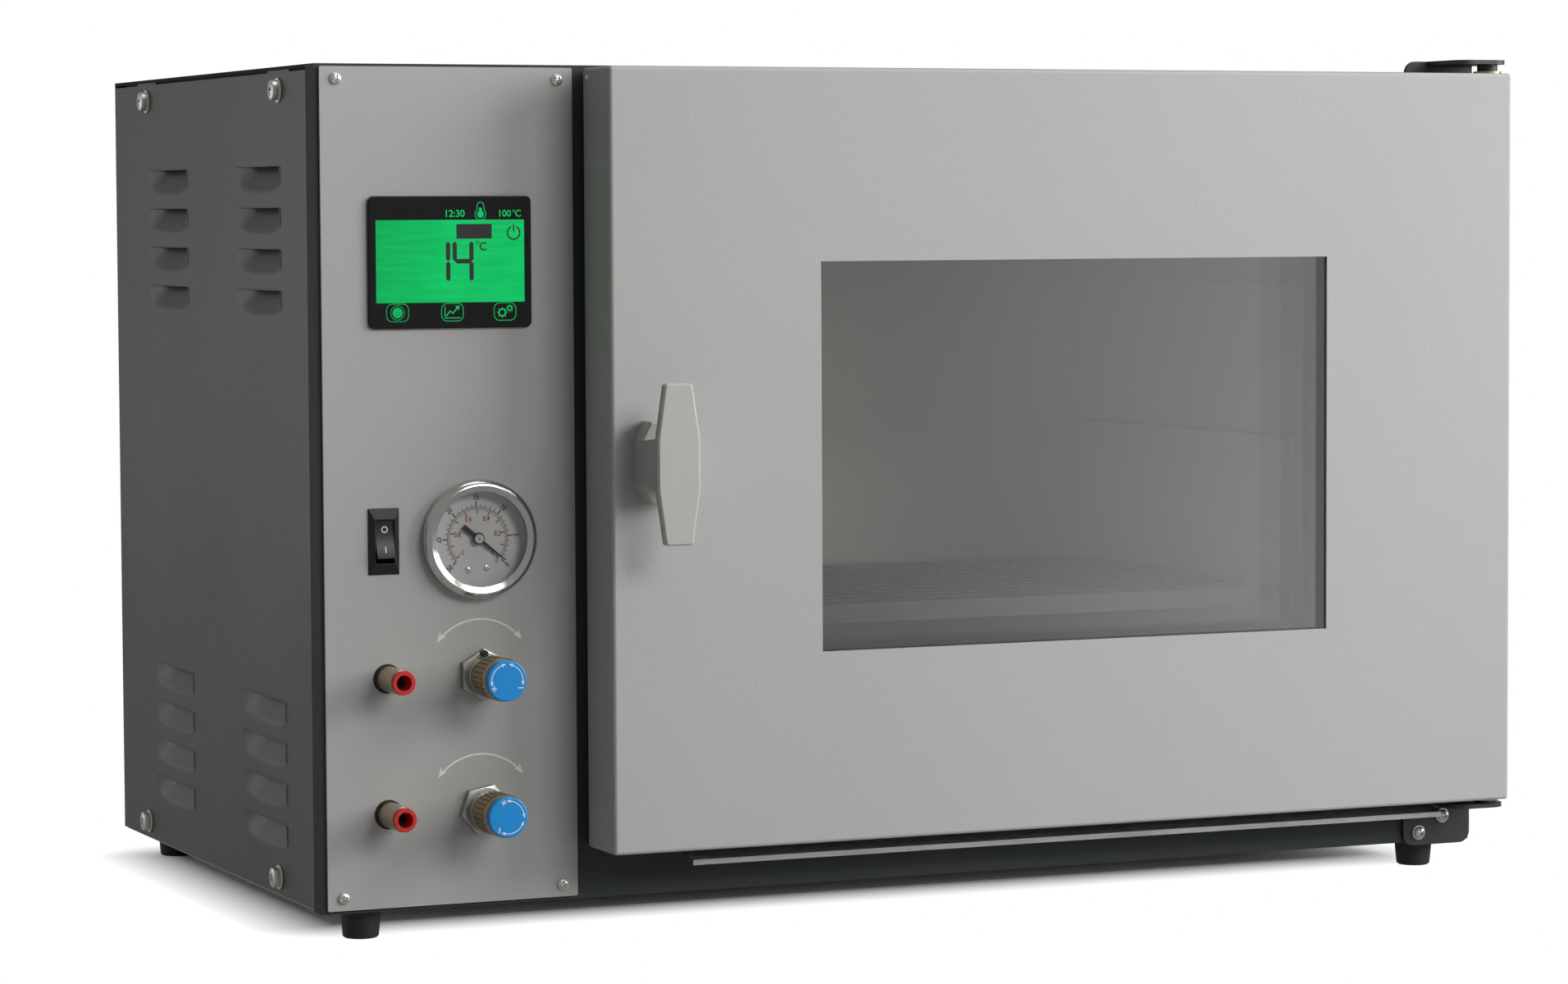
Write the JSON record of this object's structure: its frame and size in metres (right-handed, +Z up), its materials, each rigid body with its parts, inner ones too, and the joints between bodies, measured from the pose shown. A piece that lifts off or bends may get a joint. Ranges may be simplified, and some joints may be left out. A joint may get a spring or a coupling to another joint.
{
  "type": "vacuum oven",
  "caption": "Bench vacuum oven: square steel cabinet with side louvres, windowed hinged door on the right, control facia with display, round vacuum gauge, valve knobs and tube ports on the left",
  "frame": {"origin": "on the floor, under the middle of the bounding box", "axes": "+X to the right of a person facing the oven, +Y towards its back, +Z up"},
  "size_m": [0.7378, 0.4906, 0.4859],
  "materials": {
    "panel_grey": "fine textured powder coat",
    "cover_grey": "textured powder coat",
    "frame_black": "satin powder coat",
    "stainless": "bead blasted stainless",
    "zinc_steel": "zinc plated",
    "bracket_steel": "folded bare steel",
    "cast_handle": "satin cast metal",
    "heatsink": "black anodised",
    "clear_glass": "clear",
    "silicone": "matt",
    "foot_rubber": "matt",
    "wool": "felted",
    "brass_bare": "turned",
    "bronze": "turned",
    "knob_nickel": "dull nickel",
    "bezel_steel": "polished",
    "black_plastic": "fine grain",
    "rocker_black": "satin",
    "display_green": "lit",
    "cap_blue": "smooth",
    "collet_red": "smooth",
    "board_green": "lacquered",
    "dial_white": "printed",
    "needle_black": "matt",
    "line_tube": "drawn tube"
  },
  "bodies": {
    "cabinet": {"front_frame": "frame_black", "left_side_cover": "cover_grey", "right_side_cover": "cover_grey", "rear_cover": "cover_grey", "top_cover": "cover_grey", "base_tray": "zinc_steel", "feet": "foot_rubber", "chamber_supports": "zinc_steel", "bulkhead": "zinc_steel", "cover_screws": "zinc_steel", "cord_gland": "black_plastic", "vacuum_chamber": "stainless", "door_gasket": "silicone", "heater_mats": "silicone", "insulation_jacket": "wool", "shelf_runners": "stainless", "shelf": "stainless", "temperature_probe": "stainless", "facia_panel": "panel_grey", "facia_screws": "zinc_steel", "display_bezel": "black_plastic", "display_screen": "display_green", "control_board": "board_green", "switch_housing": "black_plastic", "gauge_bezel": "bezel_steel", "gauge_case": "bracket_steel", "gauge_dial": "dial_white", "gauge_lens": "clear_glass", "valve_bodies": "brass_bare", "valve_nuts": "bezel_steel", "port_fittings": "bronze", "vacuum_lines": "line_tube", "vacuum_manifold": "brass_bare", "relay_heatsink": "heatsink", "solid_state_relay": "black_plastic", "hinge_brackets": "frame_black", "hinge_pins": "zinc_steel", "hinge_washers": "bronze", "hinge_spacers": "black_plastic", "hinge_screws": "zinc_steel", "drip_strip": "frame_black", "latch_keeper": "zinc_steel"},
    "door": {"door_shell": "panel_grey", "door_inner_panel": "frame_black", "glass_frame": "zinc_steel", "inner_glass": "clear_glass", "outer_pane": "clear_glass", "hinge_bushes": "bronze", "handle_rosette": "cast_handle"},
    "handle": {"door_handle": "cast_handle", "handle_spindle": "zinc_steel", "latch_bar": "zinc_steel"},
    "rocker": {"power_rocker": "rocker_black"},
    "inlet_knob": {"inlet_valve_knob": "knob_nickel", "inlet_valve_cap": "cap_blue"},
    "pump_knob": {"pump_valve_knob": "knob_nickel", "pump_valve_cap": "cap_blue"},
    "needle": {"gauge_needle": "needle_black"},
    "inlet_collet": {"inlet_port_collet": "collet_red"},
    "pump_collet": {"pump_port_collet": "collet_red"}
  },
  "joints": [
    {"name": "door_hinge", "type": "hinge", "parent": "cabinet", "child": "door", "pos_m": [0.3565, -0.19315, 0.2615], "axis": [0, 0, 1], "range_deg": [0, 110]},
    {"name": "handle_turn", "type": "hinge", "parent": "door", "child": "handle", "pos_m": [-0.185, -0.22025, 0.2615], "axis": [0, 1, 0], "range_deg": [0, 90]},
    {"name": "rocker_tilt", "type": "hinge", "parent": "cabinet", "child": "rocker", "pos_m": [-0.3272, -0.16215, 0.21955], "axis": [1, 0, 0], "range_deg": [0, 21]},
    {"name": "inlet_knob_turn", "type": "hinge", "parent": "cabinet", "child": "inlet_knob", "pos_m": [-0.2707, -0.20105, 0.14425], "axis": [0, -1, 0], "range_deg": [0, 720]},
    {"name": "pump_knob_turn", "type": "hinge", "parent": "cabinet", "child": "pump_knob", "pos_m": [-0.2707, -0.20105, 0.06955], "axis": [0, -1, 0], "range_deg": [0, 720]},
    {"name": "needle_turn", "type": "hinge", "parent": "cabinet", "child": "needle", "pos_m": [-0.2727, -0.16605, 0.21945], "axis": [0, -1, 0], "range_deg": [0, 267]},
    {"name": "inlet_collet_slide", "type": "slide", "parent": "cabinet", "child": "inlet_collet", "axis": [0, 1, 0], "range_m": [0, 0.0012]},
    {"name": "pump_collet_slide", "type": "slide", "parent": "cabinet", "child": "pump_collet", "axis": [0, 1, 0], "range_m": [0, 0.0012]}
  ]
}
